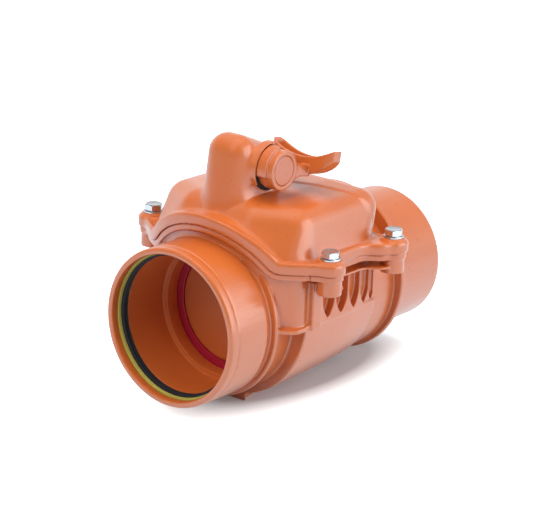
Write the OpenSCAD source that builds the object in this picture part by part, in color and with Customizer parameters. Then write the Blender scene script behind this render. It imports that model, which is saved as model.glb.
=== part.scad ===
// Sewer backwater valve for a 110 mm drain pipe, with bolted inspection cover and manual lock lever.
// X runs along the pipe, downstream. Z is up. The origin is on the pipe axis, at the stop inside the inlet
// socket where the incoming pipe ends. All lengths are in millimetres.

/* [Pipe] */
// Outside diameter of the drain pipe
pipe_od = 110; // [108:0.5:112]
// Depth of the inlet socket, from its mouth to the pipe's end
socket_depth = 58; // [52:1:66]
// Play between pipe and socket, on the radius
socket_play = 0.3; // [0.2:0.05:0.5]
// Distance from the pipe's surface to the socket's outside
socket_wall = 7.5; // [7:0.5:9]
// Distance from the pipe stop to the end of the outlet spigot
spigot_reach = 218; // [205:1:240]
// Wall thickness of the spigot
spigot_wall = 3.2; // [2.5:0.1:4]
// Step in from the socket's outside to the necks before and behind the chamber
neck_step = 0.5; // [0:0.25:1]
// Radius of the stiffening disc behind the chamber
disc_r = 69.5; // [66:0.5:72]
// Thickness of the stiffening disc
disc_t = 5; // [3:0.5:8]
// Distance from the pipe stop to the stiffening disc
disc_x = 145; // [138:1:150]
// Height of the stiffening disc's middle above the pipe axis
disc_rise = 5; // [0:0.5:6]

/* [Inlet seal] */
// Distance from the socket mouth to the seal groove
groove_inset = 7; // [5:0.5:9]
// Width of the seal groove
groove_w = 10; // [8:0.5:12]
// Depth of the seal groove, from the pipe's surface
groove_depth = 5; // [4:0.5:5.5]
// Width of the olive retaining ring in front of the lip seal
retainer_w = 3; // [2:0.5:4]

/* [Chamber] */
// Distance from the pipe stop to the chamber's front face
chamber_x0 = 14; // [13:0.5:15]
// Length of the chamber's lower half
chamber_len = 96; // [92:1:100]
// Outside radius of the chamber's lower half
chamber_r = 76; // [75:0.5:78]
// Wall thickness of body and cover
wall = 4; // [3:0.5:4.5]
// Height of the belly's own axis above the pipe axis, at the front
belly_rise = 7; // [5:0.5:8]
// Climb of the belly's axis towards the rear, in degrees
belly_tilt = 2.6; // [0:0.2:3]
// Depth of the flat foot under the chamber, below the pipe axis
foot_drop = 73; // [72.5:0.5:74]
// Half width of the foot at its front
foot_half_w = 19; // [15:0.5:22]
// Bore radius of the valve seat
seat_r = 51; // [48:0.5:52]
// Distance from the pipe stop to the seat face
seat_x = 12; // [11:0.5:13]

/* [Flange] */
// Height of the flat part of the parting plane above the pipe axis
part_z = 45; // [43:0.5:47]
// Radius of the arch that lifts the parting plane over the pipe
arch_r = 73.5; // [72:0.5:75]
// Radius of the hollow between arch and flat
arch_fillet = 12; // [10:0.5:16]
// Thickness of the cover's flange
flange_t = 8; // [6:0.5:10]
// Thickness of the body's lip under the cover
lip_t = 5; // [4:0.5:6]
// Half width of the flange between the bolts
flange_half_w = 80.5; // [79:0.5:82]
// Distance from the pipe stop to the flange's front edge, negative towards the inlet
flange_x0 = -24.5; // [-26:0.5:-22]
// Distance from the pipe stop to the flange's rear edge
flange_x1 = 118; // [116:0.5:120]
// Radius of the flange's front edge
flange_edge_r = 118; // [114:1:122]
// Distance from the pipe stop to the front bolts
bolt_x = 24.5; // [23:0.5:26]
// Spacing of the bolts along the pipe
bolt_pitch = 80; // [78:0.5:82]
// Distance of the bolts from the pipe axis
bolt_y = 88; // [87:0.5:89]
// Radius of the bolt shank
bolt_r = 4; // [3:0.5:4]
// Radius of the bosses around the bolts
boss_r = 9.5; // [9:0.5:10.5]
// Height of the cover's bosses above the parting plane
cover_boss_h = 11; // [10:0.5:14]
// Height of the body's bosses below the parting plane
body_boss_h = 16.5; // [14:0.5:20]
// Thickness of the gasket
gasket_t = 2; // [1.5:0.5:3]
// Width of the gasket
gasket_w = 5; // [4:0.5:6]

/* [Cover] */
// Height of the dome above the pipe axis
dome_z = 91.5; // [90:0.5:92]
// Height of the hump over the lock shaft above the pipe axis
hump_z = 139; // [138:0.5:144]
// Half width of the hump at its foot
hump_half_w = 21.5; // [20.5:0.5:22.5]
// Distance from the pipe stop to the hump's front, negative towards the inlet
hump_x0 = -9; // [-10:0.5:-7]
// Length of the hump
hump_len = 66; // [62:0.5:67]

/* [Flap] */
// Radius of the flap disc
flap_r = 57; // [56:0.5:57.5]
// Thickness of the flap disc
flap_t = 4; // [3:0.5:4.5]
// Inner radius of the crimson seal ring
flap_seal_r = 45; // [43:0.5:46]
// Thickness of the crimson seal ring
flap_seal_t = 3; // [2.5:0.5:3]
// Distance from the pipe stop to the hinge axis
hinge_x = 15.5; // [15:0.5:16]
// Height of the hinge axis above the pipe axis
hinge_z = 71; // [70.5:0.5:71.5]
// Radius of the hinge pin
hinge_pin_r = 3; // [2.5:0.25:3]
// Length of the horn above the hinge
horn_len = 27; // [26:0.5:28]

/* [Lock] */
// Distance from the pipe stop to the lock shaft
shaft_x = 28.5; // [28:0.5:29]
// Height of the lock shaft above the pipe axis
shaft_z = 114; // [113.5:0.5:115]
// Radius of the lock shaft
shaft_r = 5; // [4.5:0.25:5.5]
// Reach of the lock finger from the shaft axis
finger_len = 22; // [21:0.5:22.5]
// Radius of the lever hub
hub_r = 15.5; // [15:0.5:16.5]
// Depth of the lever hub along its axis
hub_t = 13.5; // [13:0.5:16]
// Distance from the shaft axis to the middle of the grip
arm_len = 39; // [38:0.5:46]
// Slope of the lever below level when it lies over the dome, in degrees
lever_slope = 11; // [8:1:12]
// Length of the grip across the lever
grip_len = 60; // [54:1:64]
// Width of the grip
grip_w = 16; // [14:0.5:20]
// Distance of the grip's middle from the arm's middle, towards the hump
grip_shift = 7; // [4:0.5:8]

/* [Fits] */
// Running clearance between shaft and bore, on the radius
run_gap = 0.06; // [0.03:0.01:0.09]
// Gap between pieces that pass each other
pass_gap = 0.3; // [0.2:0.05:0.5]

/* [Hidden] */
$fn = 96;

TERRACOTTA = "#d67a42";
RUBBER = "#1c1c1e";
OLIVE = "#b3ab52";
CRIMSON = "#b4122f";
ZINC = "#c9ccce";
STEEL = "#a9adb0";

// Overlap that lets a cut pass right through, and two sizes larger than the whole valve
cut = 1;
reach = 2 * chamber_r;
tall = 2 * arch_r;

// Seating: gaps of pieces that are pushed in and stay
snug = 0.02;
loose = 0.1;

// Inlet socket
pipe_r = pipe_od / 2;
socket_r = pipe_r + socket_wall;
neck_r = socket_r - neck_step;
groove_r = pipe_r + groove_depth;
socket_bore_r = pipe_r + socket_play;
mouth_x = -socket_depth;
mouth_r = pipe_r + 2.2;
groove_x0 = mouth_x + groove_inset;
groove_x1 = groove_x0 + groove_w;
rim_bead = 2.4;
rim_w = 8;
socket_back = -16;
collar_x = -9;
collar_w = 3.5;
collar_r = socket_r + 2.5;
lip_r = pipe_r + 0.05;

// Chamber and outlet
chamber_x1 = chamber_x0 + chamber_len;
taper_x = chamber_x0 + 56;
rear_round = 7;
rear_r = chamber_r - 3.5;
belly_rear_r = chamber_r - 1.5;
foot_edge = [[0, foot_half_w], [6, foot_half_w - 4], [36, foot_half_w - 10],
             [chamber_len - 12, foot_half_w - 14]];
spigot_bore_r = pipe_r - spigot_wall;
spigot_chamfer = 2;
recess_r = flap_r + 1.5;

// Flange outline in plan: arcs at front and rear, straight sides, ears and rear shoulders, all filleted
front_edge = [flange_x0 + flange_edge_r, 0];
rear_edge_r = 300;
rear_edge = [flange_x1 - rear_edge_r, 0];
front_bolt = [bolt_x, bolt_y];
rear_bolt = [bolt_x + bolt_pitch, bolt_y];
ear_r = boss_r + 2.5;
shoulder = rear_bolt - [8.5, 8];
shoulder_r = 14;
waist_fillet = 12;
front_fillet = 15;
rear_fillet = 12;
bead_h = 1.2;
bead_in = 1;
bead_w = 2.4;
lip_in = 1.5;

// Arch of the parting surface: middle of the hollow beside it
fillet_z = part_z + arch_fillet;
fillet_y = sqrt(pow(arch_r + arch_fillet, 2) - pow(fillet_z, 2));

// Upper block of the body: a rounded front that follows the flange, then straight flanks
block_z0 = -2;
block_r = flange_edge_r - 5;
block_half_w = flange_half_w - 7;
corner_r = 14;
corner_y = block_half_w - corner_r;
corner_out = 0.25;
corner_x = front_edge[0] - corner_out - sqrt(pow(block_r - corner_r, 2) - pow(corner_y, 2));
flank_half_w = flange_half_w - 10.5;
flank_corner_r = 18;
ledge_out = 5;
ledge_t = 3.5;
post_x0 = chamber_x0 + 4;
post_x1 = post_x0 + 11.5;
post_rise = 2.5;

// Ribs and pockets of the flanks, with the pockets as [x, width]
rib_y = chamber_r + 0.5;
rib_z1 = 34;
rib_plate_t = 2;
rib_root_y = corner_y;
pocket_y = flank_half_w - 0.5;
pocket_tip_z = 3;
pockets = [[bolt_x + 16, 14.5], [bolt_x + 32.5, 14.5], [bolt_x + 49, 14.5], [bolt_x + 64, 12],
           [bolt_x + 74.8, 7.6], [bolt_x + 82, 4.5]];

// Bolts
bolts = [for (b = [front_bolt, rear_bolt], s = [-1, 1]) [b[0], s * b[1]]];
bolt_hole_r = bolt_r + 0.4;
bolt_tip = 1;
washer_r = 2 * bolt_r;
washer_t = 1.6;
head_h = 1.3 * bolt_r;
hex_r = 1.87 * bolt_r;
nut_h = 1.6 * bolt_r;
boss_top = part_z + cover_boss_h;
boss_foot = part_z - body_boss_h;

// Gasket and its groove in the cover
gasket_in = 3;
gasket_low = 0.05;

// Dome and hump: corners as [x, half width, radius], with the height of each pair of ball corners
dome_foot = [[bolt_x - 2, 42, 32], [bolt_x + bolt_pitch - 22, 45, 30]];
dome_foot_z = part_z + flange_t - 1;
dome_balls = [[bolt_x + 1.5, 52, 18], [bolt_x + bolt_pitch - 4.5, 54, 15],
              [bolt_x - 14.5, 26, 20], [bolt_x + bolt_pitch - 11, 28, 20]];
dome_ball_z = [dome_z - 2, dome_z - 3, dome_z, dome_z];
hump_x1 = hump_x0 + hump_len;
hump_rear_r = 16;
hump_front_ball = 15;
hump_rear_ball = 14;
hump_fall = 12;
hump_sink = 12;
hump_foot = [[hump_x0 + hump_half_w, 0, hump_half_w + 1],
             [hump_x1 - hump_rear_r, hump_half_w - hump_rear_r, hump_rear_r]];
hump_foot_z = dome_z - hump_sink;
hump_balls = [[hump_x0 + hump_half_w + 0.5, hump_half_w - hump_front_ball - 2, hump_front_ball],
              [hump_x1 - hump_rear_ball - 1, hump_half_w - hump_rear_ball - 2.5, hump_rear_ball]];
hump_ball_z = [hump_z, hump_z - hump_fall];
hump_wall = wall - 0.5;

// Lock: faces and bosses along the shaft, in Y
lock_at = [shaft_x, shaft_z];
face_out = 0.5;
side_face = -hump_half_w - face_out;
hub_seal_t = 2.6;
hub_y1 = side_face - hub_seal_t - pass_gap;
hub_y0 = hub_y1 - hub_t;
shaft_bore_r = shaft_r + run_gap;
boss_wall = 8;
near_boss_l = 5.5;
far_boss_l = 7.5;
far_hold = 5;
drive_in = 6.5;
shaft_boss_r = shaft_r + boss_wall;
near_boss_y = -hump_half_w + hump_wall + near_boss_l;
far_boss_y = hump_half_w - hump_wall - far_boss_l;
shaft_y1 = far_boss_y + far_hold;
drive_y = hub_y0 + drive_in;
drive_screw_r = shaft_r / 2;
drive_screw_len = 11;
pad_r = hub_r + 2.8;
hub_seal_r = hub_r + 2.3;
guard_in = hub_r + 3.5;
guard_out = hub_r + 5;
finger_hub_r = shaft_r + 4;
finger_w = 6;
finger_half = 6;
lock_angle = 180 + atan2(shaft_z - hinge_z, shaft_x - hinge_x);
lever_travel = 100;
finger_angle = lock_angle - lever_travel;
finger_pin_r = 1.5;
o_ring_r = 0.97;
o_ring_w = 2.2;
o_ring_ys = [near_boss_y - 3, side_face + 4];
washer_gap = 0.1;
thrust_t = 1;
clip_t = 1;
clip_cut = 0.8;
clip_y = far_boss_y - 1.2;

// Lever
cap_r = hub_r - 4;
cap_t = 1.8;
cap_in = 0.2;
screw_head_r = 6;
screw_head_t = 2.9;
web_t = 7;
arm_t = 8;
arm_half = 4.5;
arm_in = 0.6;
catch_out = 3;
catch_t = 9;
catch_low = 3;
grip_h = 14;
grip_low_r = 37.5;
grip_high_r = 54;
grip_wall = 2.5;
grip_lift = 3;

// Flap and hinge
hinge_at = [hinge_x, hinge_z];
flap_x = seat_x + loose;
flap_disc_x = flap_x + flap_seal_t;
flap_back = flap_disc_x + flap_t;
flap_rib_h = 5;
flap_rib_t = 3;
flap_rib_ys = [-24, 0, 24];
bush_r = hinge_pin_r + 1.5;
bush_gap = 1;
bush_out = 0.5;
barrel_r = hinge_pin_r + 4;
barrel_half = 14;
lug_x = seat_x - 9;
lug_w = 8;
lug_y = barrel_half + 1;
lug_r = hinge_pin_r + 4;
horn_lag = 16.2;
horn_angle = lock_angle - 180 - horn_lag;
horn_w = 6;
horn_half = 5;
pin_half = lug_y + lug_w + 4;
pin_clip_y = lug_y + lug_w + 0.5;

// Middle of the fillet of radius f that touches two circles from outside
function fillet_mid(a, ra, b, rb, f, side) =
    let (d = norm(b - a), u = (b - a) / d, p = ra + f, q = rb + f, s = (p * p - q * q + d * d) / (2 * d))
    a + s * u + side * sqrt(p * p - s * s) * [-u[1], u[0]];

// Carries a flat outline, drawn as [y, z], along X
module along_x(x0, x1) {
    translate([x0, 0, 0]) rotate([90, 0, 90]) linear_extrude(x1 - x0) children();
}

// Carries a flat outline, drawn as [x, z], along Y
module along_y(y0, y1) {
    translate([0, y1, 0]) rotate([90, 0, 0]) linear_extrude(y1 - y0) children();
}

// Round bar along X on the pipe axis
module bar_x(r, x0, x1) {
    translate([x0, 0, 0]) rotate([0, 90, 0]) cylinder(r = r, h = x1 - x0);
}

// Round bar along Y through the point [x, z]
module bar_y(at, r, y0, y1) {
    translate([at[0], y1, at[1]]) rotate([90, 0, 0]) cylinder(r = r, h = y1 - y0);
}

// Turns an outline of [radius, x] points about the pipe axis
module turned(points) {
    rotate([0, 90, 0]) rotate_extrude() polygon(points);
}

// Both sides of the valve
module both_sides() {
    for (s = [0, 1]) mirror([0, s, 0]) children();
}

// Everything below the parting surface, moved out by off along its own normal
module under_parting(off) {
    circle(arch_r + off);
    translate([-fillet_y, -reach]) square([2 * fillet_y, reach + part_z / 2]);
    for (s = [0, 1]) mirror([s, 0]) {
        translate([fillet_y, -reach]) square([reach, reach + part_z + off]);
        difference() {
            polygon([[0, 0], [fillet_y, 0], [fillet_y, fillet_z]]);
            translate([fillet_y, fillet_z]) circle(arch_fillet - off);
        }
    }
}

// Fills the hollow between two circles of the outline
module circle_fillet(a, ra, b, rb, f, side, inset) {
    m = fillet_mid(a, ra, b, rb, f, side);
    root = m + 3 * f * (a - m) / norm(a - m);
    difference() {
        polygon([root, m, b]);
        translate(m) circle(f + inset);
    }
}

// Fills the hollow between the straight side of the outline and a circle that stands out of it
module side_fillet(c, r, f, way, inset) {
    m = [c[0] + way * sqrt(pow(r + f, 2) - pow(flange_half_w + f - c[1], 2)), flange_half_w + f];
    difference() {
        polygon([c, m, [m[0], flange_half_w - f], [c[0], flange_half_w - f]]);
        translate(m) circle(f + inset);
    }
}

// Middle part of the flange outline, without ears
module flange_core(inset) {
    intersection() {
        translate(front_edge) circle(flange_edge_r - inset);
        translate(rear_edge) circle(rear_edge_r - inset);
        square([4 * reach, 2 * (flange_half_w - inset)], center = true);
    }
}

// Flange outline without the rear ears
module side_plan(inset) {
    flange_core(inset);
    for (s = [0, 1]) mirror([0, s]) {
        translate(front_bolt) circle(ear_r - inset);
        translate(shoulder) circle(shoulder_r - inset);
        circle_fillet(front_edge, flange_edge_r, front_bolt, ear_r, front_fillet, 1, inset);
        side_fillet(front_bolt, ear_r, waist_fillet, 1, inset);
        side_fillet(shoulder, shoulder_r, waist_fillet, -1, inset);
    }
}

// Whole flange outline in plan, moved inwards by inset
module flange_plan(inset) {
    side_plan(inset);
    for (s = [0, 1]) mirror([0, s]) {
        translate(rear_bolt) circle(ear_r - inset);
        circle_fillet(rear_edge, rear_edge_r, rear_bolt, ear_r, rear_fillet, -1, inset);
        circle_fillet(shoulder, shoulder_r, rear_bolt, ear_r, waist_fillet, 1, inset);
    }
}

// Slab that follows the parting surface between two offsets, over the outline given as child
module parting_slab(low, high) {
    intersection() {
        along_x(flange_x0 - wall, flange_x1 + wall) difference() {
            under_parting(high);
            under_parting(low);
        }
        linear_extrude(tall) children();
    }
}

// Plan of the body's upper block, moved inwards by inset
module block_plan(inset) {
    touch_y = (block_r - inset) * corner_y / (block_r - corner_r);
    intersection() {
        translate(front_edge) circle(block_r - inset);
        translate([flange_x0, -touch_y]) square([corner_x - flange_x0, 2 * touch_y]);
    }
    translate([corner_x, inset - block_half_w])
        square([post_x1 - corner_x - inset, 2 * (block_half_w - inset)]);
    translate([corner_x, inset - flank_half_w])
        square([chamber_x1 - flank_corner_r - corner_x, 2 * (flank_half_w - inset)]);
    translate([corner_x, flank_corner_r - flank_half_w])
        square([chamber_x1 - corner_x - inset, 2 * (flank_half_w - flank_corner_r)]);
    for (s = [-1, 1]) {
        translate([corner_x, s * corner_y]) circle(corner_r - inset);
        translate([chamber_x1 - flank_corner_r, s * (flank_half_w - flank_corner_r)])
            circle(flank_corner_r - inset);
    }
}

// Hull of flat round corners at the foot and ball corners above them, moved inwards by shrink
module rounded_form(foot, foot_z, balls, ball_z, shrink) {
    hull() {
        for (c = foot, s = [-1, 1])
            translate([c[0], s * c[1], foot_z]) cylinder(r = c[2] - shrink, h = 1, $fn = 32);
        for (i = [0:len(balls) - 1], s = [-1, 1])
            translate([balls[i][0], s * balls[i][1], ball_z[i] - balls[i][2]])
                sphere(balls[i][2] - shrink, $fn = 32);
    }
}

// Pointed pocket between two stiffening ribs, drawn as [x, z] with its tip at the origin
module pocket_outline(w, h) {
    arc = 1.6 * w;
    rise = sqrt(pow(arc, 2) - pow(arc - w / 2, 2));
    intersection() {
        translate([arc - w / 2, rise]) circle(arc);
        translate([w / 2 - arc, rise]) circle(arc);
        translate([-w, 0]) square([2 * w, rise]);
    }
    translate([-w / 2, rise]) square([w, h - rise]);
}

// Ribbed flank of the chamber, with pointed pockets under a thin plate
module flank() {
    difference() {
        linear_extrude(rib_z1)
            polygon([[post_x1 - cut, rib_root_y], [chamber_x1 - wall, rib_root_y],
                     [chamber_x1 - wall, rear_r - wall], [chamber_x1 - rear_round, rear_r],
                     [taper_x, rib_y], [post_x1 - cut, rib_y]]);
        for (p = pockets) along_y(pocket_y, reach) translate([p[0], pocket_tip_z])
            pocket_outline(p[1], rib_z1 - rib_plate_t / 4 - pocket_tip_z);
    }
    intersection() {
        translate([0, 0, rib_z1 - rib_plate_t / 2]) linear_extrude(rib_plate_t) side_plan(lip_in);
        translate([post_x1 - cut, rib_root_y, 0]) cube([chamber_x1 - post_x1 + wall, reach, tall]);
    }
    translate([post_x0, rib_root_y, block_z0])
        cube([post_x1 - post_x0, block_half_w + ledge_out - rib_root_y, rib_z1 + post_rise - block_z0]);
}

// Outside of the chamber's lower half, or its inside when moved inwards: a barrel that climbs to the rear
module lower_chamber(inset) {
    front_r = chamber_r - inset;
    back_r = belly_rear_r - inset;
    end = chamber_len - inset;
    top = block_z0 + wall + cut / 2;
    intersection() {
        translate([chamber_x0, 0, belly_rise]) rotate([0, -belly_tilt, 0])
            turned([[0, -2 * wall], [front_r, -2 * wall], [front_r, taper_x - chamber_x0],
                    [back_r, end - rear_round], [back_r - rear_round, end], [0, end]]);
        translate([chamber_x0 + inset, -reach / 2, top - reach]) cube([reach, reach, reach]);
    }
}

// Flat skid under the chamber, widest at the front
module foot() {
    near = [for (i = [len(foot_edge) - 1:-1:0]) [foot_edge[i][0], -foot_edge[i][1]]];
    translate([chamber_x0, 0, -foot_drop])
        linear_extrude(foot_drop - seat_r) polygon(concat(foot_edge, near));
}

// Socket, collar and neck in front of the chamber
module inlet() {
    bead_x = mouth_x + rim_bead;
    turned([[0, mouth_x], [socket_r - rim_bead, mouth_x], [socket_r - rim_bead, bead_x], [socket_r, bead_x],
            [socket_r, mouth_x + rim_w - 1], [socket_r - 0.7, mouth_x + rim_w],
            [socket_r - 0.7, mouth_x + rim_w + 1], [socket_r, mouth_x + rim_w + 2],
            [socket_r, socket_back], [neck_r - 2, socket_back], [neck_r - 2, collar_x], [collar_r, collar_x],
            [collar_r, collar_x + collar_w], [neck_r, collar_x + collar_w], [neck_r, chamber_x0 + cut],
            [0, chamber_x0 + cut]]);
    rotate([0, 90, 0]) rotate_extrude() translate([socket_r - rim_bead, bead_x]) circle(rim_bead);
}

// Neck, stiffening disc and spigot behind the chamber
module outlet() {
    bar_x(neck_r, chamber_x1 - 2 * wall, disc_x);
    translate([0, 0, disc_rise]) bar_x(disc_r, disc_x, disc_x + disc_t);
    turned([[0, disc_x], [pipe_r, disc_x], [pipe_r, spigot_reach - spigot_chamfer],
            [pipe_r - spigot_chamfer / 2, spigot_reach], [0, spigot_reach]]);
}

module body_outside() {
    inlet();
    outlet();
    lower_chamber(0);
    foot();
    intersection() {
        along_x(flange_x0, flange_x1) under_parting(0);
        translate([0, 0, block_z0]) linear_extrude(tall) block_plan(0);
    }
    intersection() {
        translate([0, 0, block_z0]) linear_extrude(ledge_t) block_plan(-ledge_out);
        translate([flange_x0, -reach / 2, block_z0]) cube([post_x1 - flange_x0, reach, ledge_t]);
    }
    parting_slab(-lip_t, 0) flange_plan(lip_in);
    for (b = bolts) translate([b[0], b[1], boss_foot]) cylinder(r = boss_r, h = body_boss_h);
    both_sides() flank();
}

module body_inside() {
    turned([[0, mouth_x - cut], [mouth_r + 1, mouth_x - cut], [mouth_r, mouth_x + 2], [mouth_r, groove_x0],
            [groove_r, groove_x0], [groove_r, groove_x1], [socket_bore_r, groove_x1], [socket_bore_r, 0],
            [0, 0]]);
    bar_x(seat_r, -cut, seat_x + cut);
    bar_x(recess_r, seat_x, chamber_x0 + wall + cut);
    difference() {
        union() {
            lower_chamber(wall);
            translate([0, 0, block_z0 + wall]) linear_extrude(tall) block_plan(wall);
        }
        bar_x(neck_r, flange_x0, chamber_x0 + wall);
    }
    bar_x(spigot_bore_r, chamber_x1 - 3 * wall, spigot_reach + cut);
    for (b = bolts) translate([b[0], b[1], boss_foot - cut]) {
        cylinder(r = bolt_hole_r, h = body_boss_h + 2 * cut);
        cylinder(r = hex_r + loose, h = nut_h + loose + cut, $fn = 6);
    }
}

// Two lugs on top of the seat tube that carry the hinge pin
module hinge_lugs() {
    both_sides() difference() {
        union() {
            bar_y(hinge_at, lug_r, lug_y, lug_y + lug_w);
            along_y(lug_y, lug_y + lug_w)
                polygon([[lug_x, seat_r - 1], [seat_x - 1, seat_r - 1], [seat_x - 1, neck_r - 2],
                         [hinge_x, hinge_z - lug_r], [hinge_x, hinge_z + lug_r],
                         [lug_x, hinge_z + lug_r]]);
        }
        bar_y(hinge_at, hinge_pin_r + snug, lug_y - cut, lug_y + lug_w + cut);
    }
}

module valve_body() {
    color(TERRACOTTA) {
        difference() {
            body_outside();
            body_inside();
        }
        hinge_lugs();
    }
}

module inlet_lip_seal() {
    x0 = groove_x0 + retainer_w + loose;
    x1 = groove_x1 - loose;
    color(RUBBER) turned([[groove_r - loose, x0], [groove_r - loose, x1], [socket_bore_r + 1, x1],
                          [lip_r, x1 - 2], [socket_bore_r + 1.2, x1 - 3.5], [lip_r, x0 + 1],
                          [socket_bore_r + 0.6, x0]]);
}

module seal_retainer() {
    color(OLIVE) turned([[groove_r - loose, groove_x0 + loose], [groove_r - loose, groove_x0 + retainer_w],
                         [mouth_r - 1.2, groove_x0 + retainer_w], [mouth_r - 0.6, groove_x0 + loose]]);
}

module cover() {
    color(TERRACOTTA) difference() {
        union() {
            parting_slab(0, flange_t) flange_plan(0);
            parting_slab(flange_t, flange_t + bead_h) difference() {
                flange_plan(bead_in);
                flange_plan(bead_in + bead_w);
            }
            difference() {
                union() {
                    rounded_form(dome_foot, dome_foot_z, dome_balls, dome_ball_z, 0);
                    rounded_form(hump_foot, hump_foot_z, hump_balls, hump_ball_z, 0);
                }
                along_x(flange_x0, reach) under_parting(0);
            }
            for (b = bolts) translate([b[0], b[1], part_z]) cylinder(r = boss_r, h = cover_boss_h);
            bar_y(lock_at, pad_r, side_face, -hump_half_w + hump_wall);
            hub_guard();
        }
        difference() {
            union() {
                rounded_form(dome_foot, part_z - 2 * cut, dome_balls, dome_ball_z, wall);
                rounded_form(hump_foot, hump_foot_z - wall, hump_balls, hump_ball_z, hump_wall);
            }
            bar_y(lock_at, shaft_boss_r, -hump_half_w, near_boss_y);
            bar_y(lock_at, finger_hub_r, far_boss_y, hump_half_w);
        }
        bar_y(lock_at, shaft_bore_r, side_face - cut, near_boss_y + cut);
        bar_y(lock_at, shaft_bore_r, far_boss_y - cut, shaft_y1 + 0.5);
        for (b = bolts) translate([b[0], b[1], part_z - cut])
            cylinder(r = bolt_hole_r, h = cover_boss_h + 2 * cut);
        gasket_ring(-cut, loose);
    }
}

// Curved guard on the hump, round the front of the lever hub
module hub_guard() {
    intersection() {
        difference() {
            bar_y(lock_at, guard_out, side_face - 4, -hump_half_w + hump_wall);
            bar_y(lock_at, guard_in, side_face - 5, -hump_half_w - 0.5);
        }
        translate([shaft_x - 2 * hub_r, -reach, shaft_z - 0.7 * hub_r]) cube([2.3 * hub_r, reach, 3 * hub_r]);
    }
}

// Gasket ring above the parting surface; play turns it into the groove that holds it
module gasket_ring(low, play) {
    parting_slab(low, gasket_t + play) difference() {
        flange_core(gasket_in - play);
        flange_core(gasket_in + gasket_w + play);
    }
}

module cover_gasket() {
    color(RUBBER) gasket_ring(gasket_low, 0);
}

module cover_bolts() {
    shank = boss_top + washer_t - boss_foot + bolt_tip;
    color(ZINC) for (b = bolts) translate([b[0], b[1], boss_top + washer_t]) {
        cylinder(r = hex_r, h = head_h, $fn = 6);
        translate([0, 0, -shank]) cylinder(r = bolt_r, h = shank + cut);
    }
}

module cover_washers() {
    color(ZINC) for (b = bolts) translate([b[0], b[1], boss_top]) difference() {
        cylinder(r = washer_r, h = washer_t);
        translate([0, 0, -cut]) cylinder(r = bolt_hole_r, h = washer_t + 2 * cut);
    }
}

module cover_nuts() {
    color(ZINC) for (b = bolts) translate([b[0], b[1], boss_foot]) difference() {
        cylinder(r = hex_r, h = nut_h, $fn = 6);
        translate([0, 0, -cut]) cylinder(r = bolt_r + snug, h = nut_h + 2 * cut);
    }
}

module flap() {
    rib_x = flap_back + flap_rib_h;
    color(TERRACOTTA) difference() {
        union() {
            bar_x(flap_r, flap_disc_x, flap_back);
            bar_x(flap_seal_r - loose, flap_x + 1, flap_disc_x + 1);
            bar_y(hinge_at, barrel_r, -barrel_half, barrel_half);
            along_y(-barrel_half, barrel_half)
                polygon([[flap_back - cut, flap_r - 27], [flap_back + 4, flap_r - 30],
                         [hinge_x + barrel_r, hinge_z], [hinge_x, hinge_z],
                         [flap_back - 0.4, hinge_z - barrel_r], [flap_back - 0.4, flap_r]]);
            for (y = flap_rib_ys) along_y(y - flap_rib_t / 2, y + flap_rib_t / 2)
                polygon([[flap_back - cut, -flap_r * 0.75], [rib_x, -flap_r * 0.3], [rib_x, flap_r * 0.3],
                         [flap_back - cut, flap_r * 0.75]]);
            translate([hinge_x, 0, hinge_z]) rotate([0, -horn_angle, 0])
                translate([0, -horn_half, -horn_w / 2]) cube([horn_len, 2 * horn_half, horn_w]);
        }
        bar_y(hinge_at, bush_r + snug, -barrel_half - cut, barrel_half + cut);
    }
}

module flap_seal() {
    color(CRIMSON) turned([[flap_seal_r, flap_x], [flap_r - 0.5, flap_x], [flap_r - 0.5, flap_disc_x],
                           [flap_seal_r, flap_disc_x]]);
}

module hinge_bushes() {
    color(OLIVE) both_sides() difference() {
        bar_y(hinge_at, bush_r, bush_gap, barrel_half + bush_out);
        bar_y(hinge_at, hinge_pin_r + run_gap, 0, barrel_half + cut);
    }
}

module hinge_pin() {
    color(STEEL) difference() {
        bar_y(hinge_at, hinge_pin_r, -pin_half, pin_half);
        both_sides() clip_ring(hinge_at, hinge_pin_r - clip_cut, hinge_pin_r + cut, pin_clip_y);
    }
}

// Flat ring on a bar along Y, used for clips and for their grooves
module clip_ring(at, inner, outer, y) {
    difference() {
        bar_y(at, outer, y, y + clip_t);
        bar_y(at, inner, y - cut, y + clip_t + cut);
    }
}

module hinge_clips() {
    color(STEEL) both_sides()
        clip_ring(hinge_at, hinge_pin_r - clip_cut + snug, hinge_pin_r + 2.5, pin_clip_y);
}

// Turned so that its Z axis runs along the lock finger
module along_finger() {
    translate([shaft_x, 0, shaft_z]) rotate([0, 90 - finger_angle, 0]) children();
}

module lock_shaft() {
    color(STEEL) difference() {
        union() {
            bar_y(lock_at, shaft_r, hub_y1 + loose, shaft_y1);
            translate([shaft_x, hub_y1 + cut, shaft_z]) rotate([90, 0, 0])
                cylinder(r = shaft_r, h = hub_y1 + cut - drive_y, $fn = 6);
        }
        for (y = o_ring_ys) translate([shaft_x, y, shaft_z]) rotate([90, 0, 0]) rotate_extrude()
            translate([shaft_r - 2 * o_ring_r, -o_ring_w / 2]) square([2 * shaft_r, o_ring_w]);
        clip_ring(lock_at, shaft_r - clip_cut, shaft_r + cut, clip_y);
        bar_y(lock_at, drive_screw_r + snug, drive_y - cut, drive_y + drive_screw_len);
        along_finger() cylinder(r = finger_pin_r + snug, h = 4 * shaft_r, center = true);
    }
}

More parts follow.
